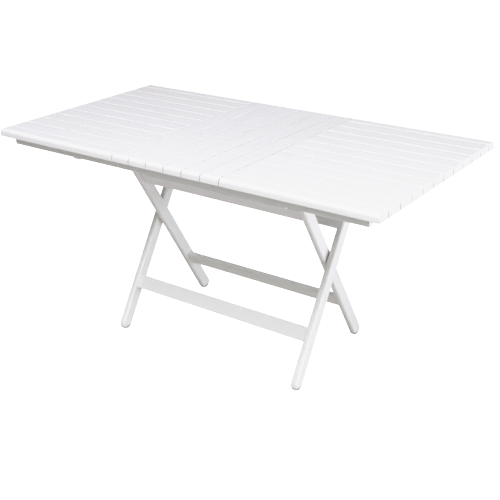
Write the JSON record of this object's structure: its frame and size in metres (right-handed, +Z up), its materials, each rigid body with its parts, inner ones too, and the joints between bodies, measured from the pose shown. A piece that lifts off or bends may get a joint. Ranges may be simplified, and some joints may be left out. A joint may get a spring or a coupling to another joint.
{
  "type": "folding picnic table",
  "caption": "Slatted rectangular table top on two crossed leg frames that fold flat under it; one frame hinges to the top, the other clips to it by a cross rod.",
  "frame": {"origin": "on the floor, at the middle of the standing table", "axes": "+X along the table top's length, +Y towards the back edge (the clip side of the top), +Z up"},
  "size_m": [1.48, 0.8, 0.75],
  "materials": {
    "top_paint": "white satin paint over wood",
    "frame_paint": "white satin paint over wood",
    "leg_paint": "white satin paint over wood",
    "bare_dowel": "bare beech dowel",
    "zinc_steel": "zinc plated",
    "spring_steel": "spring steel strip",
    "brass_insert": "machined brass",
    "nylon": "white nylon"
  },
  "bodies": {
    "tabletop": {"back_rail": "frame_paint", "centre_rail": "frame_paint", "clip_screws": "zinc_steel", "front_rail": "frame_paint", "latch_clips": "spring_steel", "left_end_batten": "frame_paint", "left_hinge_bearer": "frame_paint", "left_joint_batten": "frame_paint", "left_latch_bearer": "frame_paint", "left_slat_01": "top_paint", "left_slat_02": "top_paint", "left_slat_03": "top_paint", "left_slat_04": "top_paint", "left_slat_05": "top_paint", "left_slat_06": "top_paint", "left_slat_07": "top_paint", "left_slat_08": "top_paint", "left_slat_09": "top_paint", "left_slat_10": "top_paint", "left_slat_11": "top_paint", "left_slat_12": "top_paint", "middle_slat_1": "top_paint", "middle_slat_2": "top_paint", "middle_slat_3": "top_paint", "middle_slat_4": "top_paint", "middle_slat_5": "top_paint", "middle_slat_6": "top_paint", "right_end_batten": "frame_paint", "right_hinge_bearer": "frame_paint", "right_joint_batten": "frame_paint", "right_latch_bearer": "frame_paint", "right_slat_01": "top_paint", "right_slat_02": "top_paint", "right_slat_03": "top_paint", "right_slat_04": "top_paint", "right_slat_05": "top_paint", "right_slat_06": "top_paint", "right_slat_07": "top_paint", "right_slat_08": "top_paint", "right_slat_09": "top_paint", "right_slat_10": "top_paint", "right_slat_11": "top_paint", "right_slat_12": "top_paint", "slat_screws": "zinc_steel", "top_frame_dowels": "bare_dowel"},
    "inner_frame": {"inner_leg_left": "leg_paint", "inner_leg_right": "leg_paint", "inner_stretcher": "leg_paint", "inner_upper_rail": "leg_paint", "inner_frame_dowels": "bare_dowel", "pivot_bolts": "zinc_steel", "pivot_inserts": "brass_insert", "pivot_washers": "nylon"},
    "outer_frame": {"outer_leg_left": "leg_paint", "outer_leg_right": "leg_paint", "outer_stretcher": "leg_paint", "outer_upper_rail": "leg_paint", "outer_frame_dowels": "bare_dowel", "pivot_plugs": "leg_paint", "top_rod": "leg_paint"}
  },
  "joints": [
    {"name": "frame_hinge", "type": "hinge", "parent": "tabletop", "child": "inner_frame", "pos_m": [0, -0.18, 0.676], "axis": [1, 0, 0], "range_deg": [0, 52.5], "deforming": ["latch_clips"]},
    {"name": "crossing_pivot", "type": "hinge", "parent": "inner_frame", "child": "outer_frame", "pos_m": [0, 0, 0.38], "axis": [1, 0, 0], "range_deg": [-105, 0]}
  ],
  "couplings": [
    {"joint": "crossing_pivot", "follows": "frame_hinge", "ratio": -2}
  ]
}
